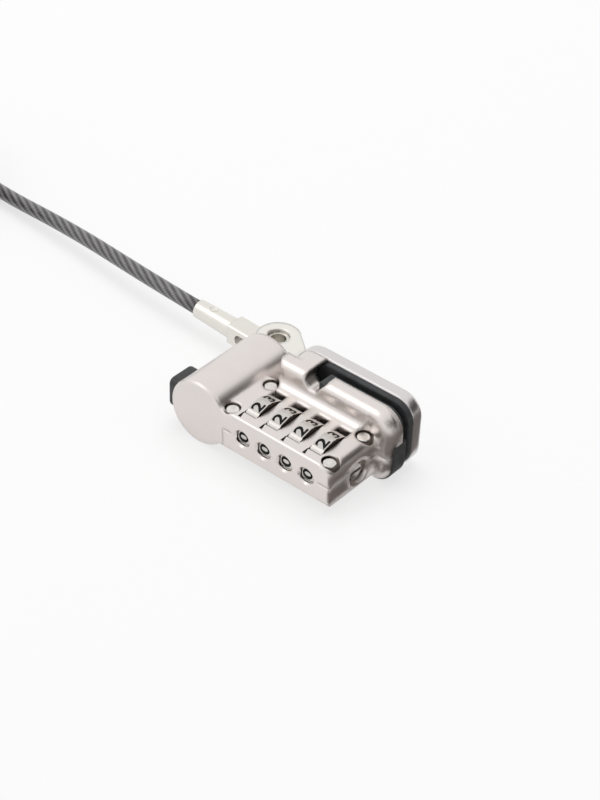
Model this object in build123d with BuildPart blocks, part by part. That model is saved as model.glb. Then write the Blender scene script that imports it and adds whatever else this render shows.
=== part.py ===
"""Combination cable lock that clamps on a thin plate, such as a tablet's kickstand.

Row frame, in millimetres: X runs along the row of dials, Y runs back from the lock's front face
and Z is up.  The origin lies on the ground, under the middle of the lock without its cable.

The front casting holds a round barrel, a box with four dials and the front jaw.  It swings about
the barrel's axis on a spindle that belongs to the rear clamp.  The rear clamp carries the rear jaw
and an eye, in which the cable's fork turns.
"""
import os
from math import cos, pi, radians, sin, sqrt, tan

from build123d import *

os.makedirs("parts", exist_ok=True)

# ---- Fits and gaps -----------------------------------------------------------------------------
running_gap = 0.06  # radial, a turning part in its bore
snug_gap = 0.08  # radial, a part that is keyed or pressed into its neighbour's bore
slide_gap = 0.15  # each side of a sliding piece
face_gap = 0.25  # between the swinging casting and the rear clamp
cut_over = 1.0  # how far a cut runs past the face that it opens

# ---- Barrel, dial box and front jaw ------------------------------------------------------------
barrel_r = 10.0
box_end = 8.2  # from the last dial's middle to the box's right end
box_depth = 19.7
deck_rise = 6.0  # deck above the barrel's axis
box_drop = 6.6  # box's underside below the barrel's axis
box_corner_r = 3.5
box_throat_r = 4.0  # hollow curve between the barrel and the box's underside
deck_valley_r = 3.0
front_edge_r = 0.9
parting_drop = 0.4  # parting plane and dial axle below the barrel's axis
cover_start = 8.8  # bottom cover's left edge, from the barrel's axis

jaw_overhang = 4.8  # jaw's right end beyond the box's
jaw_height = 23.0
jaw_corner_r = 6.7
jaw_plate = 4.8  # front jaw's thickness
jaw_edge_r = 2.6
shoulder_start = 11.0  # left edge of the jaw's shoulder, from the barrel's axis
shoulder_r = 6.0
cove_r = 3.0  # hollow between the deck and the jaw
side_cove_r = 1.4

# ---- Dials -------------------------------------------------------------------------------------
dial_count = 4
dial_pitch = 7.5
first_dial_x = 15.8  # from the barrel's axis
dial_back = 8.8  # dial axle behind the front face
digit_count = 10
dial_flat_r = 7.75  # from the axle to a digit's flat
dial_width = 4.0
dial_bore_r = 4.0
digit_step_width = 0.9
digit_step_depth = 0.35
read_tilt = 4.0  # degrees that the digit in the front window leans up
dimple_circle_r = 5.9
dimple_r = 0.8
dimple_depth = 0.25
pocket_gap = 0.3  # between a dial's corners and its pocket
dial_side_gap = 0.2
deck_slot_back = 16.4  # rear end of each deck window
axle_r = 1.5
axle_seat = 2.2  # length of axle held by the casting on the left
axle_right_seat = 0.8
hub_r = 3.1
hub_length = 2.2
drum_gap = 0.08  # radial, between a dial and its code ring, which turn together
gate_width = 1.8
gate_depth = 0.9
reader_r = 2.15  # front window
reader_bevel = 0.75

# ---- Fence bar and detent plungers -------------------------------------------------------------
fence_back = 18.9  # middle of the bar's spine behind the front face
fence_thickness = 1.4
fence_height = 1.8
fence_tooth_width = 1.2
fence_tooth_at = 3.1  # from a dial's middle to its tooth's middle
fence_rest_gap = 0.4  # between a tooth and its code ring
plunger_r = 0.8
plunger_length = 2.1
plunger_nose = 0.12  # how far the nose stands out towards the dial

# ---- Rivets and reset screw --------------------------------------------------------------------
rivet_before = ((4.7, 17.3), (5.7, 2.8))  # left of the first dial's middle, from the front
rivet_after = ((5.1, 17.6), (5.3, 3.2))  # right of the last dial's middle, from the front
rivet_recess_r = 2.3
rivet_recess_depth = 1.3
rivet_head_r = 1.95
rivet_head_height = 0.8
rivet_shank_r = 0.9
rivet_foot = 1.2  # shank's end above the box's underside
reset_back = 12.3  # reset screw behind the front face
reset_drop = 2.2  # below the barrel's axis
reset_recess_r = 3.9
reset_recess_depth = 2.6
reset_head_r = 2.6
reset_head_height = 1.5
reset_shaft_r = 1.3
reset_shaft_length = 0.9
reset_slot = 0.9

# ---- Button and latch --------------------------------------------------------------------------
front_wall = 1.6
chamber_r = 8.0
chamber_back = 12.0
button_back = 6.2  # button's middle behind the front face
button_width = 9.7
button_height = 9.6
button_proud = 2.4
button_travel = 2.0
button_corner_r = 2.0
button_cap = 3.9  # depth of the wide cap; the narrow neck behind it clears the washer
button_neck_width = 7.0
button_neck_height = 6.0
latch_thickness = 1.4
latch_half_height = 4.2
latch_reach = 6.6  # from the barrel's axis to the latch's left edge
latch_rim = 1.1
latch_far = 4.6  # from the barrel's axis to the latch's right edge
latch_tongue = 2.4

# ---- Spindle -----------------------------------------------------------------------------------
spindle_r = 5.0
spindle_tip_r = 3.0
spindle_tip_start = 3.0  # tip's end behind the front face
latch_groove_r = 1.9
latch_groove_width = 2.0
washer_r = 6.2
washer_thickness = 1.0
clip_r = 4.6
clip_thickness = 0.7
clip_groove_r = 2.3
clip_gape = 3.2

# ---- Rear clamp --------------------------------------------------------------------------------
rear_plate = 4.6  # rear jaw's thickness
hub_plate = 2.15
rear_short = 0.7  # rear jaw's right end short of the front jaw's
rear_height = 22.6
eye_top = 14.1
rear_arm_start = 8.0  # left edge of the thick jaw arm, from the barrel's axis
rear_corner_r = 6.5
rear_rise = (8.2, 12.3)  # where the top edge starts and ends its rise, from the barrel's axis
rear_edge_r = 1.6

# ---- Rubber pads -------------------------------------------------------------------------------
pad_pocket = 3.3  # depth of the front jaw's pocket behind its lip
pad_lip = 1.2
lip_end_z = 13.4  # the lip ends here on the jaw's right side
plate_gap = 1.4  # slot between the two pads
front_pad_proud = 2.2
pad_seat_gap = 0.1
rear_pad_start = 17.9  # rear pad's left end, from the barrel's axis
rear_pad_foot = 1.0
rear_pad_top = 22.2
rear_pad_corner_r = 5.2  # its upper left corner
rear_pad_foot_r = 10.0  # its lower left corner
rear_pad_thickness = 1.75
throat_gap = 0.5  # between the rear pad's left end and the front casting
notch_floor = 19.0
notch_left = 20.4
notch_width = 4.3  # along its floor
notch_ramp = 2.9  # how far its right side leans
notch_corner = 2.0  # cut across its lower left corner

# ---- Cable eye, fork and pin -------------------------------------------------------------------
pivot_left = 3.6  # cable's pin, left of the barrel's axis
pivot_offset = 7.75  # behind the rear clamp's front face
eye_r = 6.5
eye_thickness = 3.2
knuckle_r = 5.4
knuckle_thickness = 2.9
knuckle_gap = 0.3
fork_arm = 1.6
fork_eye_r = 5.0
fork_width = 6.8
fork_end_r = 2.85
fork_length = 31.5
fork_crotch = 14.0
crimp_at = 25.5
crimp_r = 1.6
crimp_depth = 0.5
pin_r = 3.2
pin_bore_r = 2.3
pin_head_r = 4.0
pin_head = 0.6
pin_sink = 1.0  # pin's top below the eye's top
fork_overlap = 3.0  # the fork's flat block runs this far into its round end
cable_bearing = 2.5  # degrees that the fork leans back from the dial row's line

# ---- Cable -------------------------------------------------------------------------------------
cable_r = 2.2
lead_straight = 20.0  # straight stretch out of the fork
coil_r = 23.0  # middle of the coil's turns
coil_width = 8.8  # two cables side by side
coil_height = 22.0  # five cables high
coil_corner_r = 2.0
tie_width = 8.0
tie_thickness = 0.9
tie_bearing = 235.0
ferrule_length = 14.0
ferrule_width = 11.0
ferrule_height = 6.2

# ---- Places that follow from the sizes ---------------------------------------------------------
last_dial_x = first_dial_x + (dial_count - 1) * dial_pitch
box_length = last_dial_x + box_end
jaw_length = box_length + jaw_overhang
rear_length = jaw_length - rear_short
notch_right = notch_left + notch_width
notch_peak = notch_right + notch_ramp
rivet_spots = [(first_dial_x - left, back) for left, back in rivet_before]
rivet_spots += [(last_dial_x + right, back) for right, back in rivet_after]
body_depth = box_depth + jaw_plate + front_pad_proud + plate_gap + rear_pad_thickness - face_gap
pivot_back = body_depth + face_gap + pivot_offset
overall_left = barrel_r + button_proud
barrel_x = (overall_left - jaw_length) / 2
front_y = -(pivot_back + eye_r) / 2
axis_z = barrel_r
deck_z = axis_z + deck_rise
floor_z = axis_z - box_drop
parting_z = axis_z - parting_drop
box_right = barrel_x + box_length
jaw_right = barrel_x + jaw_length
jaw_front_y = front_y + box_depth
jaw_rear_y = jaw_front_y + jaw_plate
housing_rear_y = front_y + body_depth
clamp_front_y = housing_rear_y + face_gap
dial_y = front_y + dial_back
dial_corner_r = dial_flat_r / cos(pi / digit_count)
pocket_r = dial_corner_r + pocket_gap
pocket_width = dial_width + 2 * dial_side_gap
dial_places = [barrel_x + first_dial_x + index * dial_pitch for index in range(dial_count)]
channel_r = hub_r + 0.3
hub_end_x = dial_places[-1] + dial_width / 2 + hub_length
axle_left = dial_places[0] - pocket_width / 2 - axle_seat
axle_right = hub_end_x + slide_gap + axle_right_seat
fence_length = dial_places[-1] + fence_tooth_at + fence_tooth_width / 2 - dial_places[0]
pivot_x = barrel_x - pivot_left
pivot_y = front_y + pivot_back
button_y = front_y + button_back
pad_front_y = jaw_rear_y - pad_pocket
pad_face_y = jaw_rear_y + front_pad_proud
rear_pad_face_y = pad_face_y + plate_gap


def section(depth_y):
    """Upright plane at a depth: sketch x is X and sketch y is Z; a negative extrude runs back."""
    return Plane.XZ.offset(-depth_y)


def crosswise(place_x):
    """Upright plane across the dial row: sketch x is Y and sketch y is Z; extrudes run right."""
    return Plane.YZ.offset(place_x)


# ---- Outer form of the front casting, shared by the upper housing and the bottom cover ---------
with BuildPart() as dial_box:
    with BuildSketch(section(front_y)) as box_profile:
        with Locations((barrel_x, axis_z)):
            Circle(barrel_r)
        with BuildLine():
            Polyline(
                (barrel_x, floor_z), (box_right, floor_z), (box_right, deck_z), (barrel_x, deck_z), close=True
            )
        make_face()
        barrel_corners = box_profile.vertices().sort_by(Axis.X)[:2]
        right_corners = box_profile.vertices().sort_by(Axis.X)[-2:]
        fillet(right_corners.sort_by(Axis.Y)[-1], box_corner_r)
        fillet(barrel_corners.sort_by(Axis.Y)[0], box_throat_r)
        fillet(barrel_corners.sort_by(Axis.Y)[-1], deck_valley_r)
    extrude(amount=-box_depth)
    fillet(dial_box.faces().sort_by(Axis.Y)[0].outer_wire().edges(), front_edge_r)

with BuildPart() as jaw_form:
    with BuildSketch(section(jaw_front_y)) as jaw_profile:
        with BuildLine():
            Polyline(
                (barrel_x, 0),
                (jaw_right, 0),
                (jaw_right, jaw_height),
                (barrel_x + shoulder_start, jaw_height),
                (barrel_x + shoulder_start, axis_z + deck_rise / 2),
                (barrel_x, axis_z + deck_rise / 2),
                close=True,
            )
        make_face()
        top_left = jaw_profile.vertices().sort_by(Axis.Y)[-2:].sort_by(Axis.X)[0]
        fillet(jaw_profile.vertices().group_by(Axis.X)[-1], jaw_corner_r)
        fillet(top_left, shoulder_r)
    extrude(amount=-jaw_plate)
    jaw_rim = jaw_form.faces().sort_by(Axis.Y)[0].outer_wire().edges()
    fillet(jaw_rim.filter_by_position(Axis.X, barrel_x + shoulder_start - 0.1, jaw_right + 0.1), jaw_edge_r)

# The shoulder is the deep left end of the jaw.  The rear pad's left end bounds it on the right.
shoulder_right = barrel_x + notch_right
throat_r = rear_pad_start - throat_gap
with BuildPart() as shoulder_form:
    with BuildSketch(section(jaw_front_y)) as shoulder_profile:
        with BuildLine():
            Polyline(
                (barrel_x, 0),
                (shoulder_right, 0),
                (shoulder_right, jaw_height),
                (barrel_x + shoulder_start, jaw_height),
                (barrel_x + shoulder_start, axis_z + deck_rise / 2),
                (barrel_x, axis_z + deck_rise / 2),
                close=True,
            )
        make_face()
        fillet(shoulder_profile.vertices().sort_by(Axis.Y)[-2:].sort_by(Axis.X)[0], shoulder_r)
    extrude(amount=-(body_depth - box_depth))
    shoulder_rim = shoulder_form.faces().sort_by(Axis.Y)[0].outer_wire().edges()
    near_left = barrel_x + shoulder_start - 0.1
    fillet(shoulder_rim.filter_by_position(Axis.X, near_left, shoulder_right - 0.1), jaw_edge_r)
    # Behind the jaw it keeps clear of the rear pad's left end, at rest and while it swings up.
    with BuildSketch(section(jaw_rear_y)) as throat:
        with Locations((barrel_x + throat_r, axis_z)):
            Rectangle(jaw_length, rear_pad_top + throat_gap - axis_z, align=(Align.MIN, Align.MIN))
        fillet(throat.vertices().sort_by(Axis.Y)[-2:].sort_by(Axis.X)[0], rear_pad_corner_r + throat_gap)
        with Locations((barrel_x, 0)):
            Rectangle(jaw_length, axis_z, align=(Align.MIN, Align.MIN))
        with Locations((barrel_x, axis_z)):
            Circle(throat_r, mode=Mode.SUBTRACT)
    extrude(amount=-body_depth, mode=Mode.SUBTRACT)

with BuildPart() as outer_form:
    add(dial_box.part)
    add(jaw_form.part)
    add(shoulder_form.part)
    with BuildSketch(section(front_y + front_edge_r + cut_over)):
        with Locations((barrel_x, axis_z)):
            Circle(barrel_r)
    extrude(amount=-(body_depth - front_edge_r - cut_over))
    with BuildSketch(crosswise(barrel_x + shoulder_start)):
        with Locations((jaw_front_y, deck_z)):
            Rectangle(cove_r, cove_r, align=(Align.MAX, Align.MIN))
        with Locations((jaw_front_y - cove_r, deck_z + cove_r)):
            Circle(cove_r, mode=Mode.SUBTRACT)
    extrude(amount=box_length - shoulder_start - box_corner_r)
    with BuildSketch(Plane.XY.offset(floor_z)):
        with Locations((box_right, jaw_front_y)):
            Rectangle(side_cove_r, side_cove_r, align=(Align.MIN, Align.MAX))
        with Locations((box_right + side_cove_r, jaw_front_y - side_cove_r)):
            Circle(side_cove_r, mode=Mode.SUBTRACT)
    extrude(amount=deck_z - box_corner_r - floor_z)
    # Notch over the slot's inner end, where the rear pad shows.
    with BuildSketch(section(jaw_front_y)):
        with BuildLine():
            Polyline(
                (barrel_x + notch_left, jaw_height + cut_over),
                (barrel_x + notch_left, notch_floor + notch_corner),
                (barrel_x + notch_left + notch_corner, notch_floor),
                (barrel_x + notch_right, notch_floor),
                (barrel_x + notch_peak, jaw_height - 0.4),
                (barrel_x + notch_peak, jaw_height + cut_over),
                close=True,
            )
        make_face()
    extrude(amount=-body_depth, mode=Mode.SUBTRACT)

# ---- Hollows that both halves of the casting share ---------------------------------------------
with BuildPart() as hollows:
    for place in dial_places:
        with BuildSketch(crosswise(place - pocket_width / 2)):
            with Locations((dial_y, parting_z)):
                Circle(pocket_r)
            with Locations((dial_y, parting_z)):
                Rectangle(
                    deck_slot_back - dial_back, deck_rise + parting_drop + cut_over, align=(Align.MIN, Align.MIN)
                )
        extrude(amount=pocket_width)
        with Locations(Plane(origin=(place, front_y, parting_z), z_dir=(0, 1, 0))):
            Cylinder(reader_r, dial_back, align=(Align.CENTER, Align.CENTER, Align.MIN))
            Cone(
                reader_r + reader_bevel, reader_r, reader_bevel, align=(Align.CENTER, Align.CENTER, Align.MIN)
            )
    # Channel for the code rings' hubs, and the axle's seats at both ends.
    with BuildSketch(crosswise(dial_places[0])):
        with Locations((dial_y, parting_z)):
            Circle(channel_r)
    extrude(amount=hub_end_x + slide_gap - dial_places[0])
    with BuildSketch(crosswise(axle_left)):
        with Locations((dial_y, parting_z)):
            Circle(axle_r + snug_gap)
    extrude(amount=axle_right - axle_left)
    # Channel for the fence bar: its spine behind the dials and one slot for each tooth.
    with BuildSketch(Plane.XY.offset(parting_z - fence_height / 2 - slide_gap)):
        with Locations((dial_places[0] - slide_gap, front_y + fence_back)):
            Rectangle(fence_length + 2 * slide_gap, fence_thickness + 2 * slide_gap, align=(Align.MIN, Align.CENTER))
        for place in dial_places:
            with Locations((place + fence_tooth_at, dial_y)):
                Rectangle(
                    fence_tooth_width + 2 * slide_gap, fence_back - dial_back, align=(Align.CENTER, Align.MIN)
                )
    extrude(amount=fence_height + 2 * slide_gap)
    # Recessed rivets.
    for offset_x, offset_y in rivet_spots:
        with Locations((barrel_x + offset_x, front_y + offset_y, deck_z - rivet_recess_depth)):
            Cylinder(rivet_recess_r, jaw_height, align=(Align.CENTER, Align.CENTER, Align.MIN))
        with Locations((barrel_x + offset_x, front_y + offset_y, floor_z + rivet_foot)):
            Cylinder(rivet_shank_r + snug_gap, deck_rise + box_drop, align=(Align.CENTER, Align.CENTER, Align.MIN))
    # Reset screw's recess and bore.
    with BuildSketch(crosswise(box_right - reset_recess_depth)):
        with Locations((front_y + reset_back, axis_z - reset_drop)):
            Circle(reset_recess_r)
    extrude(amount=reset_recess_depth + side_cove_r)
    with BuildSketch(crosswise(box_right - reset_recess_depth - reset_shaft_length - slide_gap)):
        with Locations((front_y + reset_back, axis_z - reset_drop)):
            Circle(reset_shaft_r + running_gap)
    extrude(amount=reset_recess_depth)

with BuildPart() as pad_seat:
    with BuildSketch(section(pad_front_y)) as pad_outline:
        with BuildLine():
            Polyline(
                (barrel_x + notch_right, -cut_over),
                (jaw_right + cut_over, -cut_over),
                (jaw_right + cut_over, lip_end_z),
                (jaw_right - pad_lip, lip_end_z),
                (jaw_right - pad_lip, jaw_height - pad_lip),
                (barrel_x + notch_right, jaw_height - pad_lip),
                close=True,
            )
        make_face()
        top_right = pad_outline.vertices().sort_by(Axis.Y)[-2:].sort_by(Axis.X)[-1]
        fillet(top_right, jaw_corner_r - pad_lip)
    extrude(amount=-(pad_pocket + cut_over))

# ---- Upper housing: barrel, deck, front windows and the jaw's upper half -----------------------
with BuildPart() as upper_housing:
    add(outer_form.part)
    with Locations((barrel_x + cover_start, front_y - cut_over, parting_z)):
        Box(
            jaw_length,
            body_depth + 2 * cut_over,
            parting_z + cut_over,
            align=(Align.MIN, Align.MIN, Align.MAX),
            mode=Mode.SUBTRACT,
        )
    add(hollows.part, mode=Mode.SUBTRACT)
    add(pad_seat.part, mode=Mode.SUBTRACT)
    with BuildSketch(section(front_y + front_wall)):
        with Locations((barrel_x, axis_z)):
            Circle(chamber_r)
    extrude(amount=-(chamber_back - front_wall), mode=Mode.SUBTRACT)
    with BuildSketch(section(front_y + chamber_back)):
        with Locations((barrel_x, axis_z)):
            Circle(spindle_r + running_gap)
    extrude(amount=-body_depth, mode=Mode.SUBTRACT)
    with BuildSketch(crosswise(barrel_x - overall_left)):
        with Locations((button_y, axis_z)):
            RectangleRounded(
                button_width + 2 * slide_gap, button_height + 2 * slide_gap, button_corner_r + slide_gap
            )
    extrude(amount=overall_left - latch_reach + button_travel, mode=Mode.SUBTRACT)
upper_housing.part.label = "upper_housing"
export_step(upper_housing.part, "parts/upper_housing.step")

# ---- Bottom cover: the box's underside and the jaw's lower half --------------------------------
with BuildPart() as bottom_cover:
    add(outer_form.part)
    with Locations((barrel_x + cover_start, front_y - cut_over, parting_z)):
        Box(
            jaw_length,
            body_depth + 2 * cut_over,
            parting_z + cut_over,
            align=(Align.MIN, Align.MIN, Align.MAX),
            mode=Mode.INTERSECT,
        )
    add(hollows.part, mode=Mode.SUBTRACT)
    add(pad_seat.part, mode=Mode.SUBTRACT)
    plunger_y = dial_y + dimple_circle_r * cos(radians(45))
    plunger_z = parting_z - dimple_circle_r * sin(radians(45))
    for place in dial_places:
        with BuildSketch(crosswise(place - pocket_width / 2 - plunger_length)):
            with Locations((plunger_y, plunger_z)):
                Circle(plunger_r + snug_gap)
        extrude(amount=plunger_length + cut_over, mode=Mode.SUBTRACT)
bottom_cover.part.label = "bottom_cover"
export_step(bottom_cover.part, "parts/bottom_cover.step")
# ---- Rivets, reset screw and dial axle ---------------------------------------------------------
with BuildPart() as cover_rivets:
    for offset_x, offset_y in rivet_spots:
        with Locations((barrel_x + offset_x, front_y + offset_y, floor_z + rivet_foot)):
            Cylinder(
                rivet_shank_r,
                deck_z - rivet_recess_depth - floor_z - rivet_foot,
                align=(Align.CENTER, Align.CENTER, Align.MIN),
            )
        with BuildSketch(Plane.XY.offset(deck_z - rivet_recess_depth)):
            with Locations((barrel_x + offset_x, front_y + offset_y)):
                Circle(rivet_head_r)
        extrude(amount=rivet_head_height)
    fillet(cover_rivets.faces().group_by(Axis.Z)[-1].edges(), rivet_head_height / 2)
cover_rivets.part.label = "cover_rivets"
export_step(cover_rivets.part, "parts/cover_rivets.step")

with BuildPart() as reset_screw:
    with BuildSketch(crosswise(box_right - reset_recess_depth + running_gap)):
        with Locations((front_y + reset_back, axis_z - reset_drop)):
            Circle(reset_head_r)
    extrude(amount=reset_head_height)
    fillet(reset_screw.faces().sort_by(Axis.X)[-1].edges(), reset_slot / 3)
    with BuildSketch(crosswise(box_right - reset_recess_depth - reset_shaft_length)):
        with Locations((front_y + reset_back, axis_z - reset_drop)):
            Circle(reset_shaft_r)
    extrude(amount=reset_shaft_length + running_gap)
    with BuildSketch(crosswise(box_right - reset_recess_depth + reset_head_height / 2)):
        with Locations((front_y + reset_back, axis_z - reset_drop)):
            Rectangle(2 * reset_head_r + cut_over, reset_slot)
    extrude(amount=reset_head_height, mode=Mode.SUBTRACT)
reset_screw.part.label = "reset_screw"
export_step(reset_screw.part, "parts/reset_screw.step")

with BuildPart() as dial_axle:
    with BuildSketch(crosswise(axle_left)):
        with Locations((dial_y, parting_z)):
            Circle(axle_r)
    extrude(amount=axle_right - axle_left)
dial_axle.part.label = "dial_axle"
export_step(dial_axle.part, "parts/dial_axle.step")

# ---- Dials and their code rings ----------------------------------------------------------------
flat_bearing = 180.0 - read_tilt  # from +Y towards +Z: the middle of the digit in the front window
corner_bearing = flat_bearing - 180.0 / digit_count
for index, place in enumerate(dial_places):
    dial_name = f"dial_{index + 1}"
    with BuildPart() as dial:
        with BuildSketch(crosswise(place - dial_width / 2)):
            with Locations((dial_y, parting_z)):
                RegularPolygon(dial_corner_r, digit_count, rotation=corner_bearing)
                Circle(dial_bore_r, mode=Mode.SUBTRACT)
                with PolarLocations(dial_corner_r, digit_count, start_angle=corner_bearing):
                    Rectangle(2 * digit_step_depth, digit_step_width, mode=Mode.SUBTRACT)
        extrude(amount=dial_width)
        dimple_centre = place - dial_width / 2 - dimple_r + dimple_depth
        with Locations(Plane(origin=(dimple_centre, dial_y, parting_z), x_dir=(0, 1, 0), z_dir=(1, 0, 0))):
            with PolarLocations(dimple_circle_r, digit_count, start_angle=-45):
                Sphere(dimple_r, mode=Mode.SUBTRACT)
    dial.part.label = dial_name
    export_step(dial.part, f"parts/{dial_name}.step")

    ring_name = f"code_ring_{index + 1}"
    with BuildPart() as code_ring:
        with BuildSketch(crosswise(place - dial_width / 2)):
            with Locations((dial_y, parting_z)):
                Circle(dial_bore_r - drum_gap)
        extrude(amount=dial_width)
        with BuildSketch(crosswise(place + dial_width / 2)):
            with Locations((dial_y, parting_z)):
                Circle(hub_r)
            with Locations((dial_y + hub_r, parting_z)):
                Rectangle(2 * gate_depth, gate_width, mode=Mode.SUBTRACT)
        extrude(amount=hub_length)
        with BuildSketch(crosswise(place - dial_width / 2)):
            with Locations((dial_y, parting_z)):
                Circle(axle_r + running_gap)
        extrude(amount=dial_width + hub_length, mode=Mode.SUBTRACT)
    code_ring.part.label = ring_name
    export_step(code_ring.part, f"parts/{ring_name}.step")

# ---- Fence bar and detent plungers -------------------------------------------------------------
with BuildPart() as fence_bar:
    with BuildSketch(Plane.XY.offset(parting_z - fence_height / 2)):
        with Locations((dial_places[0], front_y + fence_back)):
            Rectangle(fence_length, fence_thickness, align=(Align.MIN, Align.CENTER))
        tooth_tip_y = dial_y + hub_r + fence_rest_gap
        for place in dial_places:
            with Locations((place + fence_tooth_at, tooth_tip_y)):
                Rectangle(
                    fence_tooth_width, front_y + fence_back - tooth_tip_y, align=(Align.CENTER, Align.MIN)
                )
    extrude(amount=fence_height)
fence_bar.part.label = "fence_bar"
export_step(fence_bar.part, "parts/fence_bar.step")

with BuildPart() as detent_plungers:
    for place in dial_places:
        with BuildSketch(crosswise(place - pocket_width / 2 - plunger_length)):
            with Locations((plunger_y, plunger_z)):
                Circle(plunger_r)
        extrude(amount=plunger_length + plunger_nose)
    nose_faces = detent_plungers.faces().filter_by(Axis.X).sort_by(Axis.X)[1::2]
    chamfer(nose_faces.edges(), plunger_r / 3)
detent_plungers.part.label = "detent_plungers"
export_step(detent_plungers.part, "parts/detent_plungers.step")

# ---- Button and latch --------------------------------------------------------------------------
with BuildPart() as push_button:
    with BuildSketch(crosswise(barrel_x - overall_left)):
        with Locations((button_y, axis_z)):
            RectangleRounded(button_width, button_height, button_corner_r)
    extrude(amount=button_cap)
    with BuildSketch(crosswise(barrel_x - overall_left)):
        with Locations((button_y, axis_z)):
            RectangleRounded(button_neck_width, button_neck_height, button_corner_r / 2)
    extrude(amount=overall_left - latch_reach)
    fillet(push_button.faces().sort_by(Axis.X)[0].edges(), button_corner_r / 2)
push_button.part.label = "push_button"
export_step(push_button.part, "parts/push_button.step")

with BuildPart() as latch_plate:
    with BuildSketch(section(button_y - latch_thickness / 2)):
        with Locations((barrel_x - latch_reach, axis_z)):
            Rectangle(latch_reach + latch_far, 2 * latch_half_height, align=(Align.MIN, Align.CENTER))
        with Locations((barrel_x - latch_reach + latch_rim, axis_z)):
            Rectangle(
                latch_reach + latch_far - 2 * latch_rim,
                2 * (latch_half_height - latch_rim),
                align=(Align.MIN, Align.CENTER),
                mode=Mode.SUBTRACT,
            )
        with Locations((barrel_x + latch_far - latch_rim, axis_z)):
            Rectangle(
                latch_far - latch_rim - latch_groove_r - slide_gap, latch_tongue, align=(Align.MAX, Align.CENTER)
            )
    extrude(amount=-latch_thickness)
latch_plate.part.label = "latch_plate"
export_step(latch_plate.part, "parts/latch_plate.step")

# ---- Spindle with its washer and clip ----------------------------------------------------------
washer_front_y = front_y + chamber_back - face_gap - washer_thickness
with BuildPart() as spindle:
    with Locations(Plane(origin=(barrel_x, front_y, axis_z), z_dir=(0, 1, 0))):
        with Locations((0, 0, spindle_tip_start)):
            Cylinder(spindle_tip_r, chamber_back, align=(Align.CENTER, Align.CENTER, Align.MIN))
        with Locations((0, 0, washer_front_y + washer_thickness - front_y)):
            Cylinder(
                spindle_r,
                clamp_front_y + hub_plate - washer_front_y - washer_thickness,
                align=(Align.CENTER, Align.CENTER, Align.MIN),
            )
        with Locations((0, 0, button_back)):
            Cylinder(spindle_tip_r + cut_over, latch_groove_width, mode=Mode.SUBTRACT)
            Cylinder(latch_groove_r, latch_groove_width)
        with Locations((0, 0, washer_front_y - clip_thickness - front_y)):
            Cylinder(
                spindle_tip_r + cut_over,
                clip_thickness,
                align=(Align.CENTER, Align.CENTER, Align.MIN),
                mode=Mode.SUBTRACT,
            )
            Cylinder(clip_groove_r, clip_thickness, align=(Align.CENTER, Align.CENTER, Align.MIN))
    chamfer(spindle.faces().sort_by(Axis.Y)[0].edges(), 0.4)
spindle.part.label = "spindle"
export_step(spindle.part, "parts/spindle.step")

with BuildPart() as spindle_washer:
    with BuildSketch(section(washer_front_y)):
        with Locations((barrel_x, axis_z)):
            Circle(washer_r)
            Circle(spindle_tip_r + snug_gap, mode=Mode.SUBTRACT)
    extrude(amount=-washer_thickness)
spindle_washer.part.label = "spindle_washer"
export_step(spindle_washer.part, "parts/spindle_washer.step")

with BuildPart() as spindle_clip:
    with BuildSketch(section(washer_front_y - clip_thickness)):
        with Locations((barrel_x, axis_z)):
            Circle(clip_r)
            Circle(clip_groove_r + snug_gap, mode=Mode.SUBTRACT)
        with Locations((barrel_x, axis_z)):
            Rectangle(clip_gape, 2 * clip_r, align=(Align.CENTER, Align.MAX), mode=Mode.SUBTRACT)
    extrude(amount=-clip_thickness)
spindle_clip.part.label = "spindle_clip"
export_step(spindle_clip.part, "parts/spindle_clip.step")

# ---- Rear clamp: hub plate, jaw arm and cable eye in one casting -------------------------------
rise_run = rear_rise[1] - rear_rise[0]
rise_height = rear_height - eye_top
rise_slope = sqrt(rise_run**2 + rise_height**2)
rise_tangent = rise_height / (rise_slope + rise_run)  # tangent of half the slope's angle
rise_r = 0.48 * rise_slope / rise_tangent

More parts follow.
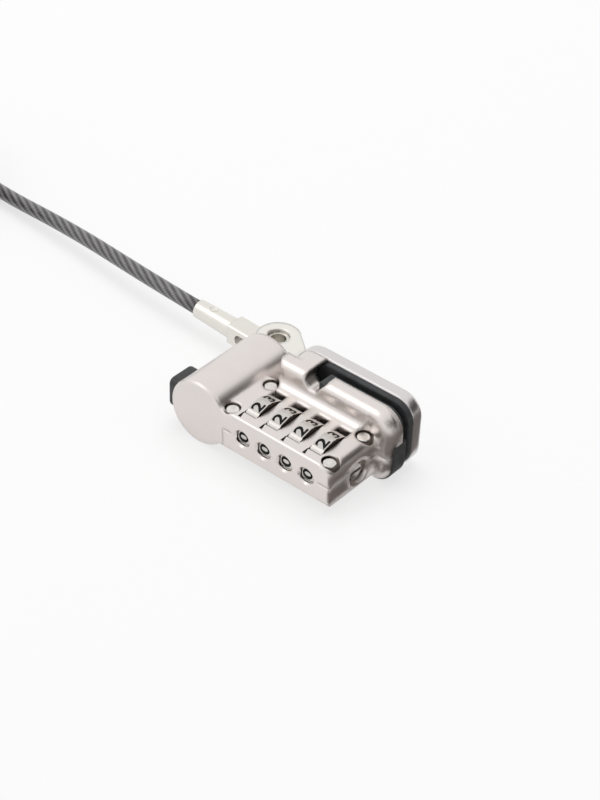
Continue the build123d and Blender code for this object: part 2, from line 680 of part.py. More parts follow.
with BuildPart() as rear_jaw:
    with BuildSketch(section(clamp_front_y)) as clamp_profile:
        with BuildLine():
            Polyline(
                (barrel_x, 0),
                (barrel_x + rear_length, 0),
                (barrel_x + rear_length, rear_height),
                (barrel_x + rear_rise[1], rear_height),
                (barrel_x + rear_rise[0], eye_top),
                (barrel_x, eye_top),
                close=True,
            )
        make_face()
        fillet(clamp_profile.vertices().group_by(Axis.X)[-1], rear_corner_r)
        rise_corners = clamp_profile.vertices().filter_by_position(
            Axis.X, barrel_x + rear_rise[0] - 0.1, barrel_x + rear_rise[1] + 0.1
        )
        fillet(rise_corners, rise_r)
    extrude(amount=-rear_plate)
    fillet(
        rear_jaw.faces().sort_by(Axis.Y)[-1].outer_wire().edges().filter_by_position(
            Axis.X, barrel_x + rear_rise[1], barrel_x + rear_length + 0.1
        ),
        rear_edge_r,
    )
    with Locations((barrel_x + rear_arm_start, clamp_front_y + hub_plate, -cut_over)):
        Box(
            jaw_length,
            rear_plate,
            jaw_height + 2 * cut_over,
            align=(Align.MAX, Align.MIN, Align.MIN),
            mode=Mode.SUBTRACT,
        )
    with BuildSketch(section(clamp_front_y)):
        with Locations((barrel_x, axis_z)):
            Circle(barrel_r)
        with Locations((barrel_x, eye_top)):
            Rectangle(2 * barrel_r, barrel_r, align=(Align.CENTER, Align.MIN), mode=Mode.SUBTRACT)
    extrude(amount=-hub_plate)
    # Eye for the cable's fork, and the web that ties it to the jaw arm.
    with BuildSketch(Plane.XY.offset(eye_top - eye_thickness)):
        with Locations((pivot_x, pivot_y)):
            Circle(eye_r)
        with BuildLine():
            Polyline(
                (pivot_x + eye_r / sqrt(2), pivot_y + eye_r / sqrt(2)),
                (barrel_x + rear_arm_start + rear_plate, clamp_front_y + rear_plate - rear_edge_r),
                (barrel_x + rear_arm_start, clamp_front_y + hub_plate / 2),
                (pivot_x, clamp_front_y + hub_plate / 2),
                (pivot_x, pivot_y),
                close=True,
            )
        make_face()
    extrude(amount=eye_thickness)
    # Knuckle between the fork's arms, with its neck.
    knuckle_top = eye_top - eye_thickness - fork_arm - 2 * knuckle_gap
    with BuildSketch(Plane.XY.offset(knuckle_top - knuckle_thickness)):
        with Locations((pivot_x, pivot_y)):
            Circle(knuckle_r)
        with Locations((pivot_x, clamp_front_y + hub_plate / 2)):
            Rectangle(
                1.2 * knuckle_r,
                pivot_y - clamp_front_y - hub_plate / 2,
                align=(Align.CENTER, Align.MIN),
            )
    extrude(amount=knuckle_thickness)
    with Locations((pivot_x, pivot_y, 0)):
        Cylinder(pin_r + snug_gap, jaw_height, align=(Align.CENTER, Align.CENTER, Align.MIN), mode=Mode.SUBTRACT)
    with BuildSketch(section(clamp_front_y)):
        with Locations((barrel_x, axis_z)):
            Circle(spindle_r + snug_gap)
    extrude(amount=-hub_plate, mode=Mode.SUBTRACT)
rear_jaw.part.label = "rear_jaw"
export_step(rear_jaw.part, "parts/rear_jaw.step")

# ---- Rubber pads -------------------------------------------------------------------------------
pad_edge_r = 0.7
with BuildPart() as front_pad:
    with BuildSketch(section(pad_front_y)) as front_pad_outline:
        with BuildLine():
            Polyline(
                (barrel_x + notch_right + pad_seat_gap, 0),
                (jaw_right, 0),
                (jaw_right, lip_end_z - pad_seat_gap),
                (jaw_right - pad_lip - pad_seat_gap, lip_end_z - pad_seat_gap),
                (jaw_right - pad_lip - pad_seat_gap, jaw_height - pad_lip - pad_seat_gap),
                (barrel_x + notch_right + pad_seat_gap, jaw_height - pad_lip - pad_seat_gap),
                close=True,
            )
        make_face()
        fillet(front_pad_outline.vertices().sort_by(Axis.Y)[:2].sort_by(Axis.X)[-1], jaw_corner_r)
        top_right = front_pad_outline.vertices().sort_by(Axis.Y)[-2:].sort_by(Axis.X)[-1]
        fillet(top_right, jaw_corner_r - pad_lip - pad_seat_gap)
    extrude(amount=pad_front_y - pad_face_y)
    fillet(front_pad.faces().sort_by(Axis.Y)[-1].outer_wire().edges(), pad_edge_r)
front_pad.part.label = "front_pad"
export_step(front_pad.part, "parts/front_pad.step")

with BuildPart() as rear_pad:
    with BuildSketch(section(rear_pad_face_y)) as rear_pad_outline:
        with Locations((barrel_x + rear_pad_start, rear_pad_foot)):
            Rectangle(rear_length - rear_pad_start, rear_pad_top - rear_pad_foot, align=(Align.MIN, Align.MIN))
        fillet(rear_pad_outline.vertices().group_by(Axis.X)[-1], rear_corner_r - pad_edge_r)
        fillet(rear_pad_outline.vertices().group_by(Axis.X)[0].sort_by(Axis.Y)[0], rear_pad_foot_r)
        fillet(rear_pad_outline.vertices().group_by(Axis.X)[0].sort_by(Axis.Y)[-1], rear_pad_corner_r)
    extrude(amount=rear_pad_face_y - clamp_front_y)
    fillet(rear_pad.faces().sort_by(Axis.Y)[0].outer_wire().edges(), pad_edge_r)
rear_pad.part.label = "rear_pad"
export_step(rear_pad.part, "parts/rear_pad.step")

# ---- Cable fork and its pin --------------------------------------------------------------------
fork_top = eye_top - eye_thickness - knuckle_gap
fork_bottom = knuckle_top - knuckle_thickness - knuckle_gap - fork_arm
fork_axis_z = (fork_top + fork_bottom) / 2
fork_way = Vector(-cos(radians(cable_bearing)), sin(radians(cable_bearing)), 0)
fork_plane = Plane(origin=(pivot_x, pivot_y, fork_axis_z), x_dir=fork_way, z_dir=(0, 0, 1))
fork_side = Plane(origin=fork_plane.origin, x_dir=fork_way, z_dir=fork_plane.y_dir * -1)
fork_shoulder = Plane(origin=fork_plane.origin + fork_way * fork_crotch, z_dir=fork_way)
fork_block = fork_crotch + fork_overlap
with BuildPart() as cable_fork:
    with BuildSketch(fork_plane.offset(fork_bottom - fork_axis_z)):
        Rectangle(fork_block, fork_width, align=(Align.MIN, Align.CENTER))
    extrude(amount=fork_top - fork_bottom)
    fillet(cable_fork.edges().filter_by(Axis((0, 0, 0), tuple(fork_way))), 1.0)
    with BuildSketch(fork_plane.offset(fork_bottom - fork_axis_z)):
        Circle(fork_eye_r)
    extrude(amount=fork_top - fork_bottom)
    with Locations(fork_shoulder):
        Cone(
            fork_width / 2 - 0.1,
            fork_end_r,
            fork_length - fork_crotch,
            align=(Align.CENTER, Align.CENTER, Align.MIN),
        )
    slot_height = fork_top - fork_bottom - 2 * fork_arm
    with BuildSketch(fork_side.offset(-fork_width)):
        Rectangle(2 * (fork_crotch - slot_height / 2), slot_height)
        with Locations((fork_crotch - slot_height / 2, 0)):
            Circle(slot_height / 2)
    extrude(amount=2 * fork_width, mode=Mode.SUBTRACT)
    with Locations(fork_plane):
        Cylinder(pin_r + running_gap, 2 * fork_width, mode=Mode.SUBTRACT)
        with Locations((crimp_at, 0, fork_end_r + crimp_r)):
            Sphere(crimp_r + crimp_depth, mode=Mode.SUBTRACT)
cable_fork.part.label = "cable_fork"
export_step(cable_fork.part, "parts/cable_fork.step")

with BuildPart() as fork_pin:
    with Locations((pivot_x, pivot_y, fork_bottom - slide_gap)):
        Cylinder(
            pin_r,
            eye_top - pin_sink - fork_bottom + slide_gap,
            align=(Align.CENTER, Align.CENTER, Align.MIN),
        )
        Cylinder(pin_head_r, pin_head, align=(Align.CENTER, Align.CENTER, Align.MAX))
    with Locations((pivot_x, pivot_y, 0)):
        Cylinder(pin_bore_r, jaw_height, align=(Align.CENTER, Align.CENTER, Align.MIN), mode=Mode.SUBTRACT)
fork_pin.part.label = "fork_pin"
export_step(fork_pin.part, "parts/fork_pin.step")

# ---- Cable: lead, coil, tail loop, tie and ferrule ---------------------------------------------
arc_share = 0.45  # tangent length of each arc, as a share of the shorter run beside it


def cable_path(points):
    """Arc radius at each inner point of a route, from the runs and the turn there."""
    radii = []
    for before, here, after in zip(points, points[1:], points[2:]):
        run_in = Vector(*here) - Vector(*before)
        run_out = Vector(*after) - Vector(*here)
        turn = radians(run_in.get_angle(run_out))
        radii.append(arc_share * min(run_in.length, run_out.length) / tan(turn / 2))
    return radii


def cable_tube(points, name):
    """Round tube along a route of straight runs and tangent arcs."""
    radii = cable_path(points)
    with BuildPart() as tube:
        with BuildLine():
            way = FilletPolyline(*points, radius=radii)
        with BuildSketch(Plane(origin=way @ 0, z_dir=way % 0)):
            Circle(cable_r)
        sweep()
    drift = tube.part.volume / (pi * cable_r**2 * way.length) - 1
    print(name, "radii", [round(radius) for radius in radii], "length", round(way.length, 1))
    print(name, "volume against section times length", round(drift, 4))
    return tube.part


fork_end = fork_plane.origin + fork_way * fork_length
lead_route = [
    tuple(fork_end),
    tuple(fork_end + fork_way * lead_straight),
    (-112.2, 22.4, 5.6),
    (-148.2, 24.3, 3.2),
    (-173.7, 29.3, cable_r),
]
lead_part = cable_tube(lead_route, "cable_lead")
lead_part.label = "cable_lead"
export_step(lead_part, "parts/cable_lead.step")

# The lead runs into the coil's outer bottom turn, which winds on to the left. The turns rise up
# the inside and come down the outside, so the last one lies on the first.
last_run = Vector(*lead_route[-1]) - Vector(*lead_route[-2])
last_way = Vector(last_run.X, last_run.Y, 0).normalized()
outer_turn_r = coil_r + coil_width / 2 - cable_r
coil_x = lead_route[-1][0] - last_way.Y * outer_turn_r
coil_y = lead_route[-1][1] + last_way.X * outer_turn_r
with BuildPart() as cable_coil:
    with BuildSketch(Plane(origin=(coil_x, coil_y, 0), x_dir=(1, 0, 0), z_dir=(0, -1, 0))):
        with Locations((coil_r, coil_height / 2)):
            RectangleRounded(coil_width, coil_height, coil_corner_r)
    revolve(axis=Axis((coil_x, coil_y, 0), (0, 0, 1)))
cable_coil.part.label = "cable_coil"
export_step(cable_coil.part, "parts/cable_coil.step")

tie_angle = tie_width / coil_r * 180 / pi
tie_way = (cos(radians(tie_bearing)), sin(radians(tie_bearing)), 0)
tie_normal = (tie_way[1], -tie_way[0], 0)
with BuildPart() as coil_tie:
    with BuildSketch(Plane(origin=(coil_x, coil_y, 0), x_dir=tie_way, z_dir=tie_normal)):
        with Locations((coil_r, coil_height / 2 + tie_thickness / 2)):
            RectangleRounded(coil_width + 2 * tie_thickness, coil_height + tie_thickness, coil_corner_r + tie_thickness)
            RectangleRounded(coil_width, coil_height - tie_thickness, coil_corner_r, mode=Mode.SUBTRACT)
    revolve(axis=Axis((coil_x, coil_y, 0), (0, 0, 1)), revolution_arc=tie_angle)
coil_tie.part.label = "coil_tie"
export_step(coil_tie.part, "parts/coil_tie.step")

# The tail leaves the coil's last turn, passes over the lead and closes on itself in a crimped loop.
loop_route = [
    (-156.7, 17.2, 3 * cable_r),
    (-161.3, 25.2, 9.0),
    (-171.5, 33.2, 9.0),
    (-184.5, 36.2, 6.0),
    (-199.5, 33.6, ferrule_height / 2),
    (-220.0, 23.9, ferrule_height / 2),
    (-249.5, 34.3, cable_r),
    (-268.5, 21.9, cable_r),
    (-270.0, -2.0, cable_r),
    (-251.5, -16.8, cable_r),
    (-229.0, -9.4, cable_r),
    (-217.9, 19.3, ferrule_height / 2),
    (-197.4, 29.0, ferrule_height / 2),
]
loop_part = cable_tube(loop_route, "cable_loop")
loop_part.label = "cable_loop"
export_step(loop_part, "parts/cable_loop.step")

strand_start = Vector(*loop_route[4])
strand_way = (Vector(*loop_route[5]) - strand_start).normalized()
strand_back = Vector(*loop_route[-1])
strand_gap = (strand_back - strand_start).length
ferrule_plane = Plane(
    origin=(strand_start + strand_back) * 0.5, x_dir=(strand_back - strand_start).normalized(), z_dir=strand_way
)
with BuildPart() as loop_ferrule:
    with BuildSketch(ferrule_plane):
        RectangleRounded(ferrule_width, ferrule_height, ferrule_height / 2 - 0.1)
        with Locations((strand_gap / 2, 0), (-strand_gap / 2, 0)):
            Circle(cable_r + running_gap, mode=Mode.SUBTRACT)
    extrude(amount=ferrule_length)
loop_ferrule.part.label = "loop_ferrule"
export_step(loop_ferrule.part, "parts/loop_ferrule.step")
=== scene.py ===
"""Looks of a combination cable lock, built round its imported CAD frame.

Lengths are in metres unless a name ends in _mm.  X runs along the row of dials, Y runs back from
the front face and Z is up, as in the frame.
"""
from __future__ import annotations

import logging
import math
from dataclasses import dataclass
from enum import Enum
from typing import Any, Sequence

import bmesh
import bpy
from mathutils import Matrix, Vector


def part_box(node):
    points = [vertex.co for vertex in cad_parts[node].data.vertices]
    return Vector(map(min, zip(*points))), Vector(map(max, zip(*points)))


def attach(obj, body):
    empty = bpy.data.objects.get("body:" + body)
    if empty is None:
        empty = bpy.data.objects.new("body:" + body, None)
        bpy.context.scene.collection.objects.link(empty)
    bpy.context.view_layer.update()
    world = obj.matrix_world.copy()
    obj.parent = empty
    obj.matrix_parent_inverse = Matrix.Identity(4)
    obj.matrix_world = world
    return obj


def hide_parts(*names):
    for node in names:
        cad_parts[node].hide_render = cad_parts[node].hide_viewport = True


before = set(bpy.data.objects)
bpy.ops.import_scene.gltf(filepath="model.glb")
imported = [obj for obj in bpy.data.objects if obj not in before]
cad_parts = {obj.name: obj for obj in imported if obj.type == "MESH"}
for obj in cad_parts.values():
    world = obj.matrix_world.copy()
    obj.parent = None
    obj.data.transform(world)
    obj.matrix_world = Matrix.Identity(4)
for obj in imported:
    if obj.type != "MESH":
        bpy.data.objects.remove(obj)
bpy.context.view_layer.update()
LOG = logging.getLogger("cable_lock")
BUILT: dict[str, bpy.types.Material] = {}
MM = 0.001
WHITE = (1.0, 1.0, 1.0, 1.0)
EDGE_SAMPLES = 8
Colour = tuple[float, float, float]
Point = tuple[float, float, float]


# ---- Shader maths ------------------------------------------------------------------------------
def with_alpha(colour: Colour | Wire) -> tuple[float, ...] | Wire:
    """Give a plain colour its alpha.

    Args:
        colour: a plain colour, or a wire.

    Returns:
        The colour with its alpha, or the wire as it is.
    """
    return colour if isinstance(colour, Wire) else (*colour, 1.0)


class Wire:
    """One output socket, with operators that add Math nodes."""

    def __init__(self, sheet: Sheet, socket: bpy.types.NodeSocket) -> None:
        """Keep the socket.

        Args:
            sheet: the sheet that it belongs to.
            socket: the output socket.
        """
        self.sheet = sheet
        self.socket = socket

    def _with(
        self,
        operation: str,
        first: float | Wire,
        second: float | Wire = 0.0,
        clamp: bool = False,
    ) -> Wire:
        """Add one Math node.

        Args:
            operation: the node's operation.
            first: value or wire of its first socket.
            second: value or wire of its second socket.
            clamp: whether the result is kept between 0 and 1.

        Returns:
            The node's result.
        """
        settings = {"operation": operation, "use_clamp": clamp}
        return self.sheet.node("ShaderNodeMath", settings, {0: first, 1: second})

    def __add__(self, other: float | Wire) -> Wire:
        """Sum."""
        return self._with("ADD", self, other)

    __radd__ = __add__

    def __sub__(self, other: float | Wire) -> Wire:
        """Difference."""
        return self._with("SUBTRACT", self, other)

    def __rsub__(self, other: float | Wire) -> Wire:
        """Difference from a number."""
        return self._with("SUBTRACT", other, self)

    def __mul__(self, other: float | Wire) -> Wire:
        """Product."""
        return self._with("MULTIPLY", self, other)

    __rmul__ = __mul__

    def __truediv__(self, other: float | Wire) -> Wire:
        """Quotient."""
        return self._with("DIVIDE", self, other)

    def __abs__(self) -> Wire:
        """Size without sign."""
        return self._with("ABSOLUTE", self)

    def sine(self) -> Wire:
        """Sine of an angle in radians."""
        return self._with("SINE", self)

    def root(self) -> Wire:
        """Square root."""
        return self._with("SQRT", self)

    def clamped(self) -> Wire:
        """The same value, kept between 0 and 1."""
        return self._with("ADD", self, 0.0, clamp=True)

    def below(self, limit: float, soft: float) -> Wire:
        """Mask that is 1 below a limit and fades to 0 over a soft edge.

        Args:
            limit: value at the middle of the edge.
            soft: width of the edge.

        Returns:
            The mask, from 0 to 1.
        """
        return ((limit + soft / 2 - self) / soft).clamped()

    def above(self, limit: float, soft: float) -> Wire:
        """Mask that is 1 above a limit and fades to 0 over a soft edge.

        Args:
            limit: value at the middle of the edge.
            soft: width of the edge.

        Returns:
            The mask, from 0 to 1.
        """
        return ((self - (limit - soft / 2)) / soft).clamped()


class Sheet:
    """Node tree of a material or a world, with the one method that adds nodes to it."""

    def __init__(self, block: bpy.types.Material | bpy.types.World) -> None:
        """Empty the tree.

        Args:
            block: the material or world that the tree belongs to.
        """
        self.block = block
        block.use_nodes = True
        self.tree = block.node_tree
        self.tree.nodes.clear()

    def node(
        self,
        kind: str,
        settings: dict[str, Any] | None = None,
        values: dict[str | int, Any] | None = None,
        output: str | int = 0,
    ) -> Wire:
        """Add one node.

        Args:
            kind: the node's type.
            settings: its properties, with a ramp's stops under "stops".
            values: number, colour or wire for each socket.
            output: name or index of the output that is returned.

        Returns:
            That output as a wire.
        """
        made = self.tree.nodes.new(kind)
        for key, value in (settings or {}).items():
            if key == "stops":
                self._set_stops(made.color_ramp, value)
            else:
                setattr(made, key, value)
        for key, value in (values or {}).items():
            if isinstance(value, Wire):
                self.tree.links.new(value.socket, made.inputs[key])
            else:
                made.inputs[key].default_value = value
        return Wire(self, made.outputs[output] if len(made.outputs) else None)

    @staticmethod
    def _set_stops(ramp: bpy.types.ColorRamp, stops: Sequence[tuple[float, Colour]]) -> None:
        """Give a colour ramp its stops.

        Args:
            ramp: the ramp.
            stops: place and colour of each stop, in order.
        """
        while len(ramp.elements) < len(stops):
            ramp.elements.new(0.5)
        for element, (place, colour) in zip(ramp.elements, stops):
            element.position = place
            element.color = (*colour, 1.0)

    def place(self) -> Wire:
        """Object coordinates, in metres."""
        return self.node("ShaderNodeTexCoord", output="Object")

    def axis_mm(self, name: str) -> Wire:
        """One of the object coordinates.

        Args:
            name: X, Y or Z.

        Returns:
            The coordinate, in millimetres.
        """
        return self.node("ShaderNodeSeparateXYZ", None, {0: self.place()}, output=name) / MM

    def noise(self, size_mm: float, detail: float = 3.0, stretch: Point = (1.0, 1.0, 1.0)) -> Wire:
        """Noise on object coordinates.

        Args:
            size_mm: size of its cells.
            detail: octaves of finer noise.
            stretch: scale along each axis.

        Returns:
            The noise, about 0.5 on average.
        """
        spread = self.node("ShaderNodeMapping", None, {"Vector": self.place(), "Scale": stretch})
        values = {"Vector": spread, "Scale": 1 / (size_mm * MM), "Detail": detail}
        return self.node("ShaderNodeTexNoise", None, values)

    def mix(self, share: float | Wire, low: Colour | Wire, high: Colour | Wire) -> Wire:
        """Mix two colours.

        Args:
            share: how much of the second colour shows.
            low: colour or wire at 0.
            high: colour or wire at 1.

        Returns:
            The mixed colour.
        """
        values = {0: share, 6: with_alpha(low), 7: with_alpha(high)}
        return self.node("ShaderNodeMix", {"data_type": "RGBA"}, values, output=2)

    def seen(self) -> Wire:
        """Mask of the rays that show the background: seen straight, in metal or through glass."""
        rays = ("Is Camera Ray", "Is Glossy Ray", "Is Transmission Ray")
        camera, glossy, through = (self.node("ShaderNodeLightPath", output=ray) for ray in rays)
        return (camera + glossy + through).clamped()

    def within(self, axis: str, low_mm: float, high_mm: float, soft_mm: float) -> Wire:
        """Mask of a slab of the object.

        Args:
            axis: the coordinate across the slab.
            low_mm: where the slab starts.
            high_mm: where it ends.
            soft_mm: width of its soft edges.

        Returns:
            The mask, from 0 to 1.
        """
        reach = self.axis_mm(axis)
        return reach.above(low_mm, soft_mm) * reach.below(high_mm, soft_mm)

    def soft_edges(self, radius_mm: float) -> Wire:
        """Normal that rounds sharp edges.

        Args:
            radius_mm: radius of the rounding.

        Returns:
            The normal.
        """
        return self.node("ShaderNodeBevel", {"samples": EDGE_SAMPLES}, {"Radius": radius_mm * MM})

    def blend_normals(self, share: Wire, low: Wire, high: Wire) -> Wire:
        """Mix two normals.

        Args:
            share: how much of the second normal shows.
            low: normal at 0.
            high: normal at 1.

        Returns:
            The mixed normal.
        """
        values = {0: share, 4: low, 5: high}
        return self.node("ShaderNodeMix", {"data_type": "VECTOR"}, values, output=1)

    def bump(self, height: Wire, depth_mm: float, normal: Wire | None = None) -> Wire:
        """Bump from a height between 0 and 1.

        Args:
            height: the height.
            depth_mm: what a height of 1 stands for.
            normal: a normal that it is added to.

        Returns:
            The bumped normal.
        """
        values: dict[str | int, Any] = {"Height": height, "Distance": depth_mm * MM}
        if normal is not None:
            values["Normal"] = normal
        return self.node("ShaderNodeBump", None, values)

    def surface(self, values: dict[str | int, Any]) -> bpy.types.Material:
        """Close the tree with a principled shader.

        Args:
            values: number, colour or wire for each of its sockets.

        Returns:
            The finished material.
        """
        shader = self.node("ShaderNodeBsdfPrincipled", None, values)
        self.node("ShaderNodeOutputMaterial", None, {"Surface": shader})
        return self.block


# ---- Finishes ----------------------------------------------------------------------------------
def scaled(colour: Colour, share: float) -> Colour:
    """Brighten or darken a colour.

    Args:
        colour: the colour.
        share: what each part is multiplied by.

    Returns:
        The new colour.
    """
    red, green, blue = colour
    return (share * red, share * green, share * blue)


class Finish:
    """A surface finish that builds its own material."""

    name: str

    def sheet(self) -> Sheet:
        """Empty node tree of a new material with the finish's name."""
        return Sheet(bpy.data.materials.new(self.name))

    def build(self) -> bpy.types.Material:
        """Build the material."""
        raise NotImplementedError


@dataclass(frozen=True)
class PlatedCasting(Finish):
    """Satin plating over a tumbled casting, with crisp windows and soft outer forms."""

    name: str
    plate: Colour
    shaded: Colour
    roughness: float = 0.3
    roughness_spread: float = 0.06
    cloud_mm: float = 5.0
    grain_mm: float = 0.6
    grain_share: float = 0.3
    grain_depth_mm: float = 0.0008
    ripple_mm: float = 12.0
    ripple_depth_mm: float = 0.03
    crisp_mm: float = 0.2
    crisp_x: tuple[float, float] = (-7.2, 23.0)
    crisp_y: tuple[float, float] = (-30.0, -9.0)
    crisp_fade_mm: float = 0.6
    soft_mm: float = 1.8
    corner_mm: float = 0.0
    corner_from_mm: float = 26.5
    corner_fade_mm: float = 2.0
    # cream tone that is partly painted light, used towards the lug end
    cream: Colour = (0.83, 0.81, 0.76)
    cream_to_mm: float | None = None
    cream_fade_mm: float = 3.0
    # painted shade for the walls of the rivet recesses
    recess: Colour = (0.12, 0.1, 0.085)
    recess_reach_mm: float = 2.75
    recess_rim: float = 0.4
    recess_z: tuple[float, float] = (14.0, 15.85)
    recess_fade_mm: float = 0.3
    recess_spots: tuple[tuple[float, float], ...] = ()

    def build(self) -> bpy.types.Material:
        """Build the plating's material.

        Returns:
            The material.
        """
        sheet = self.sheet()
        grain = sheet.noise(self.grain_mm, detail=2.0)
        cloud = sheet.noise(self.cloud_mm, detail=3.0)
        tone = (cloud * (1.0 - self.grain_share) + grain * self.grain_share).clamped()
        colour = sheet.mix(tone.above(0.5, soft=0.8), self.shaded, self.plate)
        # lighter cream towards the lug end: partly the plating's own tone, partly painted light
        # where the lug is lit brighter
        if self.cream_to_mm is not None:
            cream_light_mask = sheet.axis_mm("X").below(self.cream_to_mm, self.cream_fade_mm)
            colour = sheet.mix(cream_light_mask, colour, self.cream)
        # painted shade: darken the walls of the rivet recesses
        if self.recess_spots:
            colour = sheet.mix(self.recesses(sheet), colour, self.recess)
        return sheet.surface(
            {
                "Base Color": colour,
                "Metallic": 1.0,
                "Roughness": (self.roughness + (cloud - 0.5) * self.roughness_spread).clamped(),
                "Normal": sheet.bump(grain, self.grain_depth_mm, self.relief(sheet)),
            }
        )

    def relief(self, sheet: Sheet) -> Wire:
        """Rippled normal with crisp edges round the dials and soft ones elsewhere.

        Args:
            sheet: the material's sheet.

        Returns:
            The normal.
        """
        fade = self.crisp_fade_mm
        crisp = sheet.within("X", *self.crisp_x, fade) * sheet.within("Y", *self.crisp_y, fade)
        soft = sheet.soft_edges(self.soft_mm)
        normal = sheet.blend_normals(crisp, soft, sheet.soft_edges(self.crisp_mm))
        if self.corner_mm:
            corner = sheet.axis_mm("X").above(self.corner_from_mm, self.corner_fade_mm)
            normal = sheet.blend_normals(corner, normal, sheet.soft_edges(self.corner_mm))
        return sheet.bump(sheet.noise(self.ripple_mm, detail=1.0), self.ripple_depth_mm, normal)

    def recesses(self, sheet: Sheet) -> Wire:
        """Mask of the painted shade on the walls of the recesses that the rivets sit in.

        Args:
            sheet: the material's sheet.

        Returns:
            The mask, from 0 to 1.
        """
        first, *others = (self.near(sheet, *spot) for spot in self.recess_spots)
        deep = sheet.within("Z", *self.recess_z, self.recess_fade_mm)
        return (sum(others, first) * deep).clamped()

    def near(self, sheet: Sheet, spot_x_mm: float, spot_y_mm: float) -> Wire:
        """Mask round one recess.

        Args:
            sheet: the material's sheet.
            spot_x_mm: the recess's middle along X.
            spot_y_mm: the recess's middle along Y.

        Returns:
            The mask, from 0 to 1.
        """
        across = sheet.axis_mm("X") - spot_x_mm
        back = sheet.axis_mm("Y") - spot_y_mm
        return (across * across + back * back).below(self.recess_reach_mm**2, self.recess_rim)


@dataclass(frozen=True)
class TurnedMetal(Finish):
    """Turned or drawn bare metal."""

    name: str
    bright: Colour
    dull: Colour
    roughness: float = 0.28
    roughness_spread: float = 0.2
    line_mm: float = 0.16
    line_stretch: Point = (1.0, 1.0, 0.15)
    line_depth_mm: float = 0.004
    stain_mm: float = 1.6
    edge_mm: float = 0.12

    def build(self) -> bpy.types.Material:
        """Build the metal's material.

        Returns:
            The material.
        """
        sheet = self.sheet()
        lines = sheet.noise(self.line_mm, detail=2.0, stretch=self.line_stretch)
        stain = sheet.noise(self.stain_mm, detail=4.0)
        return sheet.surface(
            {
                "Base Color": sheet.mix(stain.above(0.5, soft=0.5), self.dull, self.bright),
                "Metallic": 1.0,
                "Roughness": (self.roughness + (lines - 0.5) * self.roughness_spread).clamped(),
                "Normal": sheet.bump(lines, self.line_depth_mm, sheet.soft_edges(self.edge_mm)),
            }
        )


@dataclass(frozen=True)
class DialPlating(Finish):
    """Plated dial whose flats are bright and whose ribbed flanks are dark."""

    name: str
    bright: Colour
    dark: Colour
    flat_reach_mm: float
    axle_y_mm: float
    axle_z_mm: float
    dull_share: float = 0.86
    stain_share: float = 2.2
    cloud_mm: float = 1.1
    rib_mm: float = 0.35
    rib_stretch: Point = (0.1, 1.0, 1.0)
    rib_depth_mm: float = 0.008
    rim_mm: float = 0.25
    rim_fade_mm: float = 0.12
    flank_from: float = 0.6
    flank_fade: float = 0.2
    edge_mm: float = 0.14
    roughness: float = 0.3
    cloud_roughness: float = 0.12
    flank_roughness: float = 0.15

    def build(self) -> bpy.types.Material:
        """Build the dial's material.

        Returns:
            The material.
        """
        sheet = self.sheet()
        back = sheet.axis_mm("Y") - self.axle_y_mm
        high = sheet.axis_mm("Z") - self.axle_z_mm
        hollow_to = self.flat_reach_mm - self.rim_mm
        hollow = (back * back + high * high).root().below(hollow_to, self.rim_fade_mm)
        facing = sheet.node("ShaderNodeNewGeometry", output="True Normal")
        sideways = sheet.node("ShaderNodeSeparateXYZ", None, {0: facing}, output="X")
        flank = abs(sideways).above(self.flank_from, self.flank_fade)
        cloud = sheet.noise(self.cloud_mm, detail=4.0)
        ribs = sheet.noise(self.rib_mm, detail=1.0, stretch=self.rib_stretch)
        dull = scaled(self.bright, self.dull_share)
        plated = sheet.mix(cloud.above(0.5, soft=0.6), dull, self.bright)
        stain = scaled(self.dark, self.stain_share)
        # the side-facing flanks and the hollow inside the rim are dark, with lighter ribs
        dark_flank = sheet.mix(ribs.above(0.5, soft=0.5), self.dark, stain)
        rough = self.roughness + cloud * self.cloud_roughness + flank * self.flank_roughness
        return sheet.surface(
            {
                "Base Color": sheet.mix((flank + hollow).clamped(), plated, dark_flank),
                "Metallic": 1.0,
                "Roughness": rough.clamped(),
                "Normal": sheet.bump(ribs, self.rib_depth_mm, sheet.soft_edges(self.edge_mm)),
            }
        )


@dataclass(frozen=True)
class MouldedPlastic(Finish):
    """Moulded plastic with a fine spark-eroded grain."""

    name: str
    base: Colour
    worn: Colour
    worn_from: float = 0.55
    worn_fade: float = 0.4
    roughness: float = 0.42
    roughness_spread: float = 0.25
    cloud_mm: float = 2.4
    grain_mm: float = 0.18
    grain_depth_mm: float = 0.012
    edge_mm: float = 0.3

    def build(self) -> bpy.types.Material:
        """Build the plastic's material.

        Returns:
            The material.
        """
        sheet = self.sheet()
        grain = sheet.noise(self.grain_mm, detail=3.0)
        cloud = sheet.noise(self.cloud_mm, detail=4.0)
        worn = cloud.above(self.worn_from, self.worn_fade)
        return sheet.surface(
            {
                "Base Color": sheet.mix(worn, self.base, self.worn),
                "Roughness": (self.roughness + (cloud - 0.5) * self.roughness_spread).clamped(),
                "Normal": sheet.bump(grain, self.grain_depth_mm, sheet.soft_edges(self.edge_mm)),
            }
        )


@dataclass(frozen=True)
class PressedRubber(Finish):
    """Matt rubber or felt with a faint dusty bloom."""

    name: str
    base: Colour
    bloom: Colour
    bloom_from: float = 0.56
    bloom_fade: float = 0.3
    roughness: float = 0.5
    dust_roughness: float = 0.2
    dust_mm: float = 1.9
    grain_mm: float = 0.12
    grain_depth_mm: float = 0.02
    edge_mm: float = 0.4

    def build(self) -> bpy.types.Material:
        """Build the rubber's material.

        Returns:
            The material.
        """
        sheet = self.sheet()
        grain = sheet.noise(self.grain_mm, detail=4.0)
        dust = sheet.noise(self.dust_mm, detail=5.0)
        bloomed = dust.above(self.bloom_from, self.bloom_fade)
        return sheet.surface(
            {
                "Base Color": sheet.mix(bloomed, self.base, self.bloom),
                "Roughness": (self.roughness + dust * self.dust_roughness).clamped(),
                "Normal": sheet.bump(grain, self.grain_depth_mm, sheet.soft_edges(self.edge_mm)),
            }
        )


